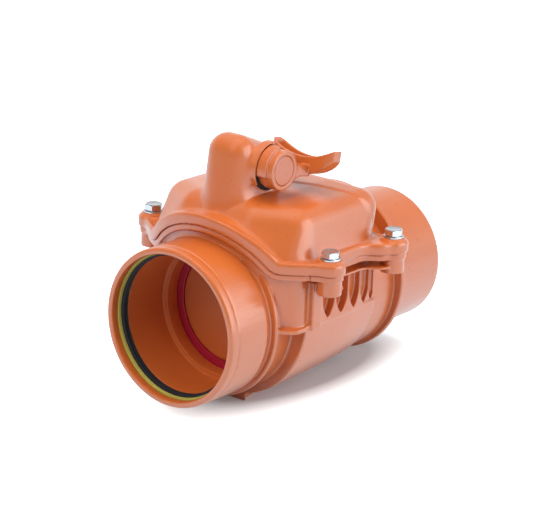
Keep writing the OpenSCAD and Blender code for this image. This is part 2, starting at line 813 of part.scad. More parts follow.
module lock_finger() {
    color(TERRACOTTA) difference() {
        union() {
            bar_y(lock_at, finger_hub_r, -finger_half, finger_half);
            translate([shaft_x, 0, shaft_z]) rotate([0, -finger_angle, 0])
                translate([0, -finger_half, -finger_w / 2]) cube([finger_len, 2 * finger_half, finger_w]);
        }
        bar_y(lock_at, shaft_r + snug, -finger_half - cut, finger_half + cut);
        translate([shaft_x, 0, shaft_z]) rotate([0, -finger_angle, 0]) rotate([0, 90, 0])
            cylinder(r = finger_pin_r + snug, h = 3 * finger_hub_r, center = true);
    }
}

module finger_pin() {
    color(STEEL) along_finger() cylinder(r = finger_pin_r, h = 2 * finger_hub_r - cut, center = true);
}

module shaft_o_rings() {
    color(RUBBER) for (y = o_ring_ys) translate([shaft_x, y, shaft_z]) rotate([90, 0, 0])
        rotate_extrude() translate([shaft_r - o_ring_r, 0]) circle(o_ring_r, $fn = 24);
}

module shaft_washers() {
    color(ZINC) for (y = [near_boss_y + washer_gap, finger_half + washer_gap]) difference() {
        bar_y(lock_at, finger_hub_r, y, y + thrust_t);
        bar_y(lock_at, shaft_r + snug, y - cut, y + thrust_t + cut);
    }
}

module shaft_clip() {
    color(STEEL) clip_ring(lock_at, shaft_r - clip_cut + snug, shaft_r + 3, clip_y);
}

module hub_seal() {
    color(RUBBER) difference() {
        bar_y(lock_at, hub_seal_r, side_face - hub_seal_t, side_face);
        bar_y(lock_at, shaft_r + 1, side_face - hub_seal_t - cut, side_face + cut);
    }
}

// Outline of the grip, drawn as [y, z]: a bar whose ends curve up
module grip_outline() {
    intersection() {
        difference() {
            translate([0, grip_low_r - grip_h / 2]) circle(grip_low_r);
            translate([0, grip_high_r + grip_h / 2]) circle(grip_high_r);
        }
        square([grip_len, 4 * grip_h], center = true);
    }
}

// Grip of the lever: a bowed trough, open at the top
module grip() {
    x0 = arm_len - grip_w / 2;
    difference() {
        along_x(x0, x0 + grip_w) grip_outline();
        along_x(x0 + grip_wall, x0 + grip_w - grip_wall) intersection() {
            translate([0, grip_low_r - grip_h / 2]) circle(grip_low_r - grip_wall);
            square([grip_len - 2 * grip_wall, 4 * grip_h], center = true);
        }
    }
}

module lever() {
    neck_x = arm_len - grip_w / 2 + grip_wall - cut / 2;
    color(TERRACOTTA) difference() {
        union() {
            bar_y(lock_at, hub_r, hub_y0, hub_y1);
            intersection() {
                bar_y(lock_at, hub_r + catch_out, hub_y1 - catch_t, hub_y1);
                translate([shaft_x - 2 * hub_r, hub_y0, shaft_z - catch_low])
                    cube([2 * hub_r, hub_t + cut, 2 * hub_r]);
            }
            translate([shaft_x, 0, shaft_z]) rotate([0, lever_slope, 0]) {
                along_y(hub_y0 + arm_in, hub_y0 + arm_t)
                    polygon([[0, hub_r - 1], [hub_r, arm_half + 1.5], [hub_r + 6, arm_half],
                             [neck_x, arm_half], [neck_x, -arm_half], [hub_r + 6, -arm_half],
                             [hub_r, -arm_half - 2.5], [0, 1 - hub_r]]);
                translate([0, hub_y0 + arm_t / 2 + grip_shift, grip_lift]) grip();
            }
        }
        bar_y(lock_at, cap_r + loose, hub_y0 - cut, hub_y0 + cap_t + cap_in);
        bar_y(lock_at, cap_r - 3, hub_y0 - cut, hub_y0 + hub_t - web_t);
        translate([shaft_x, hub_y1 + cut, shaft_z]) rotate([90, 0, 0])
            cylinder(r = shaft_r + snug, h = hub_t + 2 * cut, $fn = 6);
    }
}

module lever_cap() {
    color(TERRACOTTA) bar_y(lock_at, cap_r, hub_y0 + cap_in, hub_y0 + cap_in + cap_t);
}

module lever_screw() {
    color(ZINC) {
        bar_y(lock_at, drive_screw_r, drive_y - 2 * loose, drive_y + drive_screw_len - cut);
        bar_y(lock_at, screw_head_r, drive_y - screw_head_t - loose, drive_y - loose);
    }
}

valve_body();
inlet_lip_seal();
seal_retainer();
cover();
cover_gasket();
cover_bolts();
cover_washers();
cover_nuts();
flap();
flap_seal();
hinge_bushes();
hinge_pin();
hinge_clips();
lock_shaft();
lock_finger();
finger_pin();
shaft_o_rings();
shaft_washers();
shaft_clip();
hub_seal();
lever();
lever_cap();
lever_screw();
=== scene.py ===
"""Looks of a sewer backwater valve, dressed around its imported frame.

X runs downstream along the pipe, Z is up, and the origin is on the pipe axis at the pipe stop inside the
inlet socket. Sizes are written in millimetres and multiplied by MM where a mesh or a node is made. Only
WELD, the distance at which loose corners are joined, and the softboxes are in metres.
"""

import logging
import math
from collections.abc import Sequence
from dataclasses import dataclass, field
from enum import Enum

import bmesh
import bpy
import numpy as np
from mathutils import Matrix, Vector


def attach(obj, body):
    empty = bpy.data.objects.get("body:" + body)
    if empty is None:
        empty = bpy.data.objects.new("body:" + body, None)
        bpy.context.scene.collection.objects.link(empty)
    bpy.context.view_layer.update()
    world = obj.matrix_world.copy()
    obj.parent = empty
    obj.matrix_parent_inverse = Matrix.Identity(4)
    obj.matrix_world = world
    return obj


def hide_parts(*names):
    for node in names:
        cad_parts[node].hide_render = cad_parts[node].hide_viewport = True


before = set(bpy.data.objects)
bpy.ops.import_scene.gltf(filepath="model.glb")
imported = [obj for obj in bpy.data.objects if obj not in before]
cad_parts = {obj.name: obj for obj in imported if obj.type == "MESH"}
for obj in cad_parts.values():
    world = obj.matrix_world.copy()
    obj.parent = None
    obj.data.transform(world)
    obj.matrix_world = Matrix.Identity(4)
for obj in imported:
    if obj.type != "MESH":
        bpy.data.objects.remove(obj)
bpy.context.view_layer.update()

MM = 0.001
WELD = 2e-6
SHAFT_AT = (28.5, 0.0, 114.0)
HINGE_AT = (15.5, 0.0, 71.0)
LOG = logging.getLogger("backwater_valve")
Array = np.ndarray
Colour = tuple[float, float, float]


class Body(Enum):
    """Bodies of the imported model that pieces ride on."""

    HOUSING = "housing"
    FLAP = "flap"
    LOCK = "lock"


class Axis(Enum):
    """Spin axis of a turned piece, as the order (along, across, across) of the coordinates."""

    X = (0, 1, 2)
    Y = (1, 2, 0)
    Z = (2, 0, 1)


def linear(red: int, green: int, blue: int) -> Colour:
    """Scene-linear colour of an 8-bit display colour."""
    share = np.array([red, green, blue]) / 255.0
    low, high = share / 12.92, ((share + 0.055) / 1.055) ** 2.4
    return tuple(float(c) for c in np.where(share <= 0.04045, low, high))


def metres(ends: tuple[float, float]) -> tuple[float, float]:
    """Two ends of a stretch, from millimetres to metres."""
    return ends[0] * MM, ends[1] * MM


# Shader expressions


class Wire:
    """A value socket that adds Math nodes when it is used in an expression."""

    def __init__(self, graph: "Graph", socket: bpy.types.NodeSocket) -> None:
        """Keep the graph that new nodes go to and the socket that carries the value."""
        self.graph = graph
        self.socket = socket

    def _math(self, operation: str, first: "Wire | float", second: "Wire | float") -> "Wire":
        """Value of one Math node on two operands."""
        return self.graph.wire("ShaderNodeMath", {"operation": operation}, {0: first, 1: second})

    def __add__(self, other: "Wire | float") -> "Wire":
        """Sum of two values."""
        return self._math("ADD", self, other)

    def __rsub__(self, other: float) -> "Wire":
        """A number less this value."""
        return self._math("SUBTRACT", other, self)

    def __mul__(self, other: "Wire | float") -> "Wire":
        """Product of two values."""
        return self._math("MULTIPLY", self, other)

    def at_most(self, limit: float) -> "Wire":
        """The smaller of this value and a limit."""
        return self._math("MINIMUM", self, limit)


class Graph:
    """Node tree of one material or world, cleared and ready for new nodes."""

    def __init__(self, owner: bpy.types.Material | bpy.types.World) -> None:
        """Take over the owner's node tree."""
        owner.use_nodes = True
        self.tree = owner.node_tree
        self.tree.nodes.clear()

    def node(self, kind: str, settings: dict | None = None, inputs: dict | None = None) -> bpy.types.Node:
        """Add one node.

        Args:
            kind: Blender's name of the node type.
            settings: Properties that are set first.
            inputs: Values, wires or sockets by the name or index of the input socket.

        Returns:
            The new node.
        """
        made = self.tree.nodes.new(kind)
        for name, value in (settings or {}).items():
            setattr(made, name, value)
        for key, value in (inputs or {}).items():
            source = value.socket if isinstance(value, Wire) else value
            if isinstance(source, bpy.types.NodeSocket):
                self.tree.links.new(source, made.inputs[key])
            else:
                made.inputs[key].default_value = source
        return made

    def wire(
        self, kind: str, settings: dict | None = None, inputs: dict | None = None, output: int | str = 0
    ) -> Wire:
        """Add one node and return one of its outputs as a wire."""
        return Wire(self, self.node(kind, settings, inputs).outputs[output])

    def fade(self, value: Wire, ends: tuple[float, float], first: float = 1.0, last: float = 0.0) -> Wire:
        """Value that goes from first to last while another goes from end to end, and is level beyond."""
        limits = {"Value": value, "From Min": ends[0], "From Max": ends[1], "To Min": first, "To Max": last}
        return self.wire("ShaderNodeMapRange", inputs=limits)

    def place(self) -> bpy.types.NodeSocket:
        """Object coordinates, which are the frame's own because every piece sits at the origin."""
        return self.node("ShaderNodeTexCoord").outputs["Object"]

    def noise(self, size: float, detail: float = 2.0) -> Wire:
        """Noise from 0 to 1 whose blotches are about this many millimetres across."""
        settings = {"Vector": self.place(), "Scale": 1.0 / (size * MM), "Detail": detail}
        return self.wire("ShaderNodeTexNoise", inputs=settings)

    def blend(self, share: Wire, first: Colour, second: Colour) -> bpy.types.NodeSocket:
        """Colour between two colours by a share from 0 to 1."""
        inputs = {"Factor": share, 6: (*first, 1.0), 7: (*second, 1.0)}
        return self.node("ShaderNodeMix", {"data_type": "RGBA"}, inputs).outputs[2]

    def bump(self, height: Wire, depth: float) -> bpy.types.NodeSocket:
        """Normal of a surface raised by up to this many millimetres."""
        inputs = {"Height": height, "Strength": 1.0, "Distance": depth * MM}
        return self.node("ShaderNodeBump", inputs=inputs).outputs["Normal"]

    def close(self, **inputs: object) -> None:
        """Add the principled shader with these inputs and link it to the output."""
        named = {key.replace("_", " ").title().replace("Ior", "IOR"): value for key, value in inputs.items()}
        shader = self.node("ShaderNodeBsdfPrincipled", inputs=named)
        self.node("ShaderNodeOutputMaterial", inputs={"Surface": shader.outputs[0]})


# Finishes


@dataclass(frozen=True)
class Plastic:
    """Injection-moulded plastic with faint flow clouds and a fine satin grain.

    Sizes of clouds, patches and grain are in millimetres. Roughness starts from its lowest value, and patches
    and grain add their shares to it. The bore limits give where the dull inside of the pipe fades out.
    """

    name: str
    slot: str
    colour: Colour
    cloud: Colour
    lowest: float = 0.22
    flow_size: float = 38.0
    patch_size: float = 9.0
    patch_share: float = 0.1
    grain_size: float = 0.7
    grain_share: float = 0.06
    ripple_size: float = 3.0
    ripple_share: float = 2.0
    depth: float = 0.004
    gloss: float = 0.9
    coat: float = 0.7
    coat_roughness: float = 0.22
    bore_r: tuple[float, float] = (55.8, 57.2)
    bore_x: tuple[float, float] = (110.0, 140.0)
    bore_dull: float = 0.22

    def inside(self, graph: Graph) -> Wire:
        """1 on the walls and the flap inside the pipe, which no tool has polished, and 0 elsewhere."""
        flat = {0: graph.place(), 1: (0.0, 1.0, 1.0)}
        across = graph.node("ShaderNodeVectorMath", {"operation": "MULTIPLY"}, flat).outputs[0]
        radius = graph.wire("ShaderNodeVectorMath", {"operation": "LENGTH"}, {0: across}, "Value")
        along = graph.wire("ShaderNodeSeparateXYZ", inputs={"Vector": graph.place()}, output="X")
        return graph.fade(radius, metres(self.bore_r)) * graph.fade(along, metres(self.bore_x))

    def material(self) -> bpy.types.Material:
        """Material whose colour drifts along the flow, with rougher patches, a grain and a dull bore."""
        made = bpy.data.materials.new(self.name)
        graph = Graph(made)
        inside = self.inside(graph)
        flow = graph.noise(self.flow_size, 3.0)
        patches = graph.noise(self.patch_size)
        grain = graph.noise(self.grain_size, 1.0)
        ripple = graph.noise(self.ripple_size)
        uneven = patches * self.patch_share + grain * self.grain_share
        graph.close(
            base_color=graph.blend(flow, self.colour, self.cloud),
            roughness=uneven + inside * self.bore_dull + self.lowest,
            normal=graph.bump(grain + ripple * self.ripple_share, self.depth),
            specular_ior_level=self.gloss,
            coat_weight=(1.0 - inside) * self.coat,
            coat_roughness=self.coat_roughness,
        )
        return made


@dataclass(frozen=True)
class Rubber:
    """Moulded rubber with a dull bloom and small specks, whose sizes are in millimetres."""

    name: str
    slot: str
    colour: Colour
    bloom: Colour
    lowest: float = 0.43
    cloud_size: float = 5.0
    cloud_share: float = 0.15
    speck_size: float = 0.5
    speck_tint: float = 0.3
    depth: float = 0.008

    def material(self) -> bpy.types.Material:
        """Material with cloudy bloom, uneven gloss and a fine grain."""
        made = bpy.data.materials.new(self.name)
        graph = Graph(made)
        cloud = graph.noise(self.cloud_size, 4.0)
        specks = graph.noise(self.speck_size, 1.0)
        tint = cloud * (1.0 - self.speck_tint) + specks * self.speck_tint
        graph.close(
            base_color=graph.blend(tint, self.colour, self.bloom),
            roughness=cloud * self.cloud_share + self.lowest,
            normal=graph.bump(specks, self.depth),
        )
        return made


@dataclass(frozen=True)
class PlatedMetal:
    """Bright plated metal with faint spangle and fine marks, whose sizes are in millimetres."""

    name: str
    slot: str
    colour: Colour
    shade: Colour
    lowest: float = 0.14
    spangle_size: float = 2.2
    spangle_share: float = 0.16
    mark_size: float = 0.6
    mark_share: float = 0.06
    depth: float = 0.012

    def material(self) -> bpy.types.Material:
        """Material with patches of plating, uneven polish and small dents."""
        made = bpy.data.materials.new(self.name)
        graph = Graph(made)
        spangle = graph.noise(self.spangle_size, 3.0)
        marks = graph.noise(self.mark_size)
        graph.close(
            base_color=graph.blend(spangle, self.colour, self.shade),
            metallic=1.0,
            roughness=spangle * self.spangle_share + marks * self.mark_share + self.lowest,
            normal=graph.bump(marks, self.depth),
        )
        return made


TERRACOTTA = Plastic("terracotta_plastic", "terracotta", linear(206, 106, 46), linear(198, 98, 40))
OLIVE = Plastic("olive_plastic", "olive_plastic", linear(182, 172, 84), linear(166, 154, 70), 0.34)
BLACK_RUBBER = Rubber("black_rubber", "black_rubber", linear(22, 27, 35), linear(35, 41, 50))
CRIMSON_RUBBER = Rubber("crimson_rubber", "crimson_rubber", linear(210, 22, 62), linear(184, 16, 52), 0.38)
ZINC = PlatedMetal("bright_zinc", "zinc", linear(226, 228, 231), linear(200, 203, 208))
STEEL = PlatedMetal("bare_steel", "steel", linear(188, 190, 193), linear(165, 167, 171), 0.22)
Finish = Plastic | Rubber | PlatedMetal


# Mesh tools


def vertex_rows(mesh: bpy.types.Mesh, name: str = "co") -> Array:
    """One row of three numbers for each vertex, which is its place in metres or, as "normal", its normal."""
    rows = np.empty(3 * len(mesh.vertices), np.float32)
    mesh.vertices.foreach_get(name, rows)
    return rows.reshape(-1, 3)


def move_vertices(mesh: bpy.types.Mesh, points: Array) -> None:
    """Put each vertex at a new place, in metres."""
    mesh.vertices.foreach_set("co", points.astype(np.float32).ravel())
    mesh.update()


def grid_faces(rows: int, columns: int, ring: bool) -> Array:
    """Quads of a grid whose columns close on themselves, and its rows too where ring is true."""
    row = np.arange(rows if ring else rows - 1)[:, None]
    column = np.arange(columns)[None, :]
    after, beside = (row + 1) % rows, (column + 1) % columns
    here, there = row * columns, after * columns
    corners = [here + column, there + column, there + beside, here + beside]
    return np.stack(np.broadcast_arrays(*corners), axis=-1).reshape(-1, 4)


def softened(
    outline: Sequence[tuple[float, float]], radius: float, closed: bool = True, steps: int = 6
) -> Array:
    """Round the corners of an outline.

    Each corner P becomes the curve (1-t)^2 A + 2t(1-t) P + t^2 B, where A and B lie on the two edges at the
    radius from P, or at just under half of the edge where that is shorter.

    Args:
        outline: Corners as (along, radius) in millimetres.
        radius: Distance from the corner at which the rounding starts.
        closed: Whether the last corner joins the first; an open outline keeps its two ends.
        steps: Points on each rounded corner.

    Returns:
        Points of the rounded outline, one row each.
    """
    most_of_edge = 0.45
    points = np.asarray(outline, float)
    back, ahead = np.roll(points, 1, axis=0) - points, np.roll(points, -1, axis=0) - points
    t = np.linspace(0.0, 1.0, steps)[None, :, None]

    def reach(edge: Array) -> Array:
        """Vector along the edge at which the rounding starts."""
        length = np.linalg.norm(edge, axis=1, keepdims=True)
        return edge / length * np.minimum(radius, most_of_edge * length)

    start, end = (points + reach(back))[:, None], (points + reach(ahead))[:, None]
    curve = (1 - t) ** 2 * start + 2 * t * (1 - t) * points[:, None] + t**2 * end
    if closed:
        return curve.reshape(-1, 2)
    return np.vstack([points[:1], curve[1:-1].reshape(-1, 2), points[-1:]])


@dataclass
class Surface:
    """Vertices in millimetres and faces of a shape that isn't in Blender yet."""

    points: Array
    faces: list[list[int]]

    def repeated(self, places: Sequence[Sequence[float]]) -> "Surface":
        """Copies of the shape moved by each place."""
        moves = np.asarray(places, float)
        count = len(self.points)
        points = (self.points[None] + moves[:, None]).reshape(-1, 3)
        faces = [[i + count * k for i in face] for k in range(len(moves)) for face in self.faces]
        return Surface(points, faces)

    def joined(self, other: "Surface") -> "Surface":
        """This shape and another as one."""
        count = len(self.points)
        shifted = [[i + count for i in face] for face in other.faces]
        return Surface(np.vstack([self.points, other.points]), self.faces + shifted)


def spun(
    outline: Array, axis: Axis, centre: Sequence[float], closed: bool = True, steps: int = 96
) -> Surface:
    """Turn an outline about an axis.

    A point (a, r) of the outline lands, at angle t, at a along the axis and at r cos t and r sin t across it.
    An open outline starts and ends on the axis, and its two ends become poles.

    Args:
        outline: Points as (along, radius) in millimetres.
        axis: Direction of the spin axis.
        centre: Point on the axis where along is 0.
        closed: Whether the outline is a loop that doesn't touch the axis.
        steps: Points round the axis.

    Returns:
        The turned surface.
    """
    inner = outline if closed else outline[1:-1]
    angle = np.linspace(0.0, 2 * np.pi, steps, endpoint=False)
    grid = np.empty((len(inner), steps, 3))
    along, first, second = axis.value
    grid[..., along] = inner[:, :1]
    grid[..., first] = inner[:, 1:] * np.cos(angle)
    grid[..., second] = inner[:, 1:] * np.sin(angle)
    points = grid.reshape(-1, 3)
    faces = grid_faces(len(inner), steps, closed).tolist()
    if not closed:
        poles = np.zeros((2, 3))
        poles[:, along] = outline[[0, -1], 0]
        last = len(points)
        rim = np.arange(steps)
        beside = (rim + 1) % steps
        foot = np.stack([np.full(steps, last), rim, beside], axis=1)
        top = np.stack([np.full(steps, last + 1), beside, rim], axis=1) + [0, last - steps, last - steps]
        points = np.vstack([points, poles])
        faces += foot.tolist() + top.tolist()
    return Surface(points + np.asarray(centre, float), faces)


def hexagon(angle: Array, half_flats: float) -> Array:
    """Radius of a hexagon: half its width over flats, over the cosine of the angle from a flat's middle."""
    turn = np.pi / 3
    return half_flats / np.cos((angle + turn / 2) % turn - turn / 2)


# Pieces


@dataclass
class Assembly:
    """A group of pieces that share a way of being dressed."""

    pieces: list[bpy.types.Object] = field(default_factory=list, init=False)

    def dress(self, piece: bpy.types.Object, finish: Finish, body: Body, node: str) -> bpy.types.Object:
        """Give a piece its finish and body, and let it stand for a CAD node.

        Args:
            piece: Object at the origin with its place in its mesh.
            finish: Finish that makes the material.
            body: Body that the piece rides on.
            node: CAD node that the piece replaces.

        Returns:
            The same object.
        """
        piece.data.materials.clear()
        piece.data.materials.append(bpy.data.materials.get(finish.name) or finish.material())
        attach(piece, body.value)
        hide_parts(node)
        self.pieces.append(piece)
        return piece

    def shaped(
        self, surface: Surface, finish: Finish, body: Body, node: str, crease: float = 35.0
    ) -> bpy.types.Object:
        """Make a piece from a computed surface, with edges sharper than the crease angle kept crisp."""
        mesh = bpy.data.meshes.new(f"{node}_shape")
        mesh.from_pydata((surface.points * MM).tolist(), [], surface.faces)
        shell = bmesh.new()
        shell.from_mesh(mesh)
        bmesh.ops.recalc_face_normals(shell, faces=shell.faces)
        shell.to_mesh(mesh)
        shell.free()
        mesh.shade_smooth()
        mesh.set_sharp_from_angle(angle=math.radians(crease))
        piece = bpy.data.objects.new(f"{node}_shape", mesh)
        bpy.context.scene.collection.objects.link(piece)
        return self.dress(piece, finish, body, node)

    def moulded(self, node: str, finish: Finish, body: Body, recipe: "Moulding") -> bpy.types.Object:
        """Make a piece from a CAD node with its edges rounded as a mould leaves them."""
        return self.dress(recipe.cast(node), finish, body, node)

    def report(self) -> None:
        """Log each piece with its number of faces."""
        for piece in self.pieces:
            LOG.info("%s: %s with %d faces", type(self).__name__, piece.name, len(piece.data.polygons))


def ramp(value: Array, low: float, high: float) -> Array:
    """Smooth step from 0 at low to 1 at high: t t (3 - 2t) of the clipped share t."""
    t = np.clip((value - low) / (high - low), 0.0, 1.0)
    return t * t * (3.0 - 2.0 * t)


@dataclass(frozen=True)
class Flare:
    """Wide hollow roundings on the outside of the cover, at the feet of dome and hump.

    A vertex takes part where its normal points away from a point inside the dome, and only inside the bead
    on the flange and outside the recess of the lever hub and the bore of the lock shaft. The soft values give
    the widths over which its share fades out.
    """

    rounds: int = 260
    pull: float = 0.5
    inside: tuple[float, float, float] = (30.0, 0.0, 40.0)
    half_w: float = 75.0
    front: tuple[float, float] = (93.5, 112.0)
    rear_x: float = 112.0
    hub_y: float = -21.0
    hub_r: float = 19.6
    bore_r: float = 7.0
    soft_outside: float = 4.0
    soft_end: float = 3.0
    soft_side: float = 4.0
    soft_hub: float = 1.5

    def share(self, points: Array, normals: Array) -> Array:
        """Share from 0 to 1 by which each vertex may move outwards."""
        x, y, z = points.T
        outside = ramp(np.sum((points - self.inside) * normals, axis=1), 0.0, self.soft_outside)
        middle, radius = self.front
        plan = 1.0 - ramp(np.hypot(x - middle, y), radius - self.soft_end, radius)
        plan *= 1.0 - ramp(np.abs(y), self.half_w - self.soft_side, self.half_w)
        plan *= 1.0 - ramp(x, self.rear_x - self.soft_end, self.rear_x)
        from_shaft = np.hypot(x - SHAFT_AT[0], z - SHAFT_AT[2])
        recess = (1.0 - ramp(from_shaft, self.hub_r, self.hub_r + self.soft_hub)) * (y < self.hub_y)
        return outside * plan * (1.0 - recess) * (from_shaft > self.bore_r)


@dataclass(frozen=True)
class RearBand:
    """Raised band round the rear of the dome.

    It covers what lies behind a slanted plane, which crosses the top near the hump and the flanks near the
    rear bolts, and it ends above the flange.
    """

    height: float = 0.9
    edge: float = 2.0
    start: tuple[float, float, float] = (80.0, 41.0, 90.0)
    lean: tuple[float, float] = (0.33, 0.45)
    foot_z: float = 57.0

    def share(self, points: Array) -> Array:
        """Share from 0 to 1 by which each vertex is raised.

        The plane lies at x = start x + lean y (|y| - start y) + lean z (start z - z).
        """
        x, y, z = points.T
        x0, y0, z0 = self.start
        behind = x - x0 - self.lean[0] * (np.abs(y) - y0) - self.lean[1] * (z0 - z)
        return ramp(behind, 0.0, self.edge) * ramp(z, self.foot_z, self.foot_z + self.edge)


@dataclass(frozen=True)
class Moulding:
    """Recipe that turns a crisp CAD solid into a moulded one: fine voxels, then relaxed corners."""

    voxel: float
    rounds: int
    flare: Flare | None = None
    band: RearBand | None = None
    most_faces: int = 190_000
    pull: float = 0.5

    def cast(self, node: str) -> bpy.types.Object:
        """Remesh a merged copy of a CAD node, relax its corners and thin it to the face limit.

        Args:
            node: CAD node to copy.

        Returns:
            A new object at the origin.
        """
        piece = bpy.data.objects.new(f"{node}_moulding", self._merged(node))
        bpy.context.scene.collection.objects.link(piece)
        self._applied(piece, "REMESH", mode="VOXEL", voxel_size=self.voxel * MM, use_smooth_shade=True)
        self._relaxed(piece.data)
        triangles = 2 * len(piece.data.polygons)
        if triangles > self.most_faces:
            self._applied(piece, "DECIMATE", ratio=self.most_faces / triangles)
        piece.data.shade_smooth()
        return piece

    @staticmethod
    def _merged(node: str) -> bpy.types.Mesh:
        """Copy of a node's mesh with its loose triangles joined."""
        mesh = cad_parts[node].data.copy()
        shell = bmesh.new()
        shell.from_mesh(mesh)
        bmesh.ops.remove_doubles(shell, verts=shell.verts, dist=WELD)
        shell.to_mesh(mesh)
        shell.free()
        return mesh

    @staticmethod
    def _applied(piece: bpy.types.Object, kind: str, **settings: object) -> None:
        """Add one modifier to a piece and bake it into the mesh."""
        modifier = piece.modifiers.new(kind.lower(), kind)
        for name, value in settings.items():
            setattr(modifier, name, value)
        evaluated = piece.evaluated_get(bpy.context.evaluated_depsgraph_get())
        mesh = bpy.data.meshes.new_from_object(evaluated)
        piece.modifiers.clear()
        piece.data = mesh

    def _relaxed(self, mesh: bpy.types.Mesh) -> None:
        """Relax a mesh.

        In each round every vertex moves part of the way to the mean of its neighbours. Where there is a
        flare, rounds come first in which only the part of that move counts that points outwards along the
        normal, so hollows fill up and no edge is worn down. Then a band is raised along the normals.
        """
        count = len(mesh.vertices)
        edges = np.empty(2 * len(mesh.edges), np.int32)
        mesh.edges.foreach_get("vertices", edges)
        first, second = edges.reshape(-1, 2).T
        points = vertex_rows(mesh).astype(float)
        normals = vertex_rows(mesh, "normal")
        share = 1.0 / np.maximum(np.bincount(edges, minlength=count), 1)

        def move(at: Array) -> Array:
            """Step of each vertex to the mean of its neighbours."""
            forth = [np.bincount(first, at[second, k], count) for k in range(3)]
            back = [np.bincount(second, at[first, k], count) for k in range(3)]
            return np.stack(np.add(forth, back), axis=1) * share[:, None] - at

        if self.flare:
            weight = self.flare.pull * self.flare.share(points / MM, normals)
            for _ in range(self.flare.rounds):
                out = np.sum(move(points) * normals, axis=1)
                points += (weight * np.maximum(out, 0.0))[:, None] * normals
        if self.flare and self.band:
            raised = self.band.share(points / MM) * self.flare.share(points / MM, normals)
            points += (self.band.height * MM * raised)[:, None] * normals
        for _ in range(self.rounds):
            points += self.pull * move(points)
        move_vertices(mesh, points)


@dataclass
class Housing(Assembly):
    """Valve body and bolted cover, as two mouldings, with the gasket between them."""

    body_recipe: Moulding = Moulding(0.65, rounds=3)
    cover_recipe: Moulding = Moulding(1.0, rounds=3, flare=Flare(), band=RearBand())
    gasket_recipe: Moulding = Moulding(0.8, rounds=2)
    bore_r: float = 5.1
    bore_slack: float = 1.0
    bore_end: float = 15.7

    def _ream(self, mesh: bpy.types.Mesh) -> None:
        """Bring the walls of the cover's shaft bore, which relaxing has narrowed, back to one radius."""
        points = vertex_rows(mesh) / MM
        off_axis = (points - SHAFT_AT) * [1.0, 0.0, 1.0]
        radius = np.linalg.norm(off_axis, axis=1)
        wall = (radius > self.bore_r - self.bore_slack) & (radius < self.bore_r)
        wall &= points[:, 1] < self.bore_end
        points[wall] += off_axis[wall] * (self.bore_r / radius[wall] - 1.0)[:, None]
        move_vertices(mesh, points * MM)

    def build(self) -> None:
        """Cast both mouldings and dress the gasket."""
        self.moulded("valve_body", TERRACOTTA, Body.HOUSING, self.body_recipe)
        cover = self.moulded("cover", TERRACOTTA, Body.HOUSING, self.cover_recipe)
        self._ream(cover.data)
        self.moulded("cover_gasket", BLACK_RUBBER, Body.HOUSING, self.gasket_recipe)


@dataclass
class InletSeal(Assembly):
    """Double-lipped rubber ring in the socket, with its lips relaxed, and the olive ring that holds it.

    Each rise is how far a corner lies outside the bore. The back lip and the valley are placed by their
    distance from the seal's back end, and the front lip by its distance from the front end.
    """

    groove_x: float = -51.0
    groove_w: float = 10.0
    groove_r: float = 59.9
    bore_r: float = 55.3
    lip_r: float = 53.9
    ring_w: float = 3.0
    gap: float = 0.1
    back_lip: float = 2.0
    back_rise: float = 1.0
    valley: float = 3.5
    valley_rise: float = 1.2
    front_lip: float = 1.0
    front_rise: float = 0.6
    seal_soft: float = 0.7
    ring_r: tuple[float, float] = (56.6, 56.0)
    ring_soft: float = 0.6
    steps: int = 192

    def build(self) -> None:
        """Turn both rings about the pipe axis."""
        x0, x1 = self.groove_x + self.ring_w + self.gap, self.groove_x + self.groove_w - self.gap
        lips = [
            (x0, self.groove_r),
            (x1, self.groove_r),
            (x1, self.bore_r + self.back_rise),
            (x1 - self.back_lip, self.lip_r),
            (x1 - self.valley, self.bore_r + self.valley_rise),
            (x0 + self.front_lip, self.lip_r),
            (x0, self.bore_r + self.front_rise),
        ]
        seal = spun(softened(lips, self.seal_soft), Axis.X, (0, 0, 0), steps=self.steps)
        self.shaped(seal, BLACK_RUBBER, Body.HOUSING, "inlet_lip_seal")
        front, back = self.groove_x + self.gap, self.groove_x + self.ring_w
        front_r, back_r = self.ring_r
        band = [(front, self.groove_r), (back, self.groove_r), (back, back_r), (front, front_r)]
        ring = spun(softened(band, self.ring_soft), Axis.X, (0, 0, 0), steps=self.steps)
        self.shaped(ring, OLIVE, Body.HOUSING, "seal_retainer")


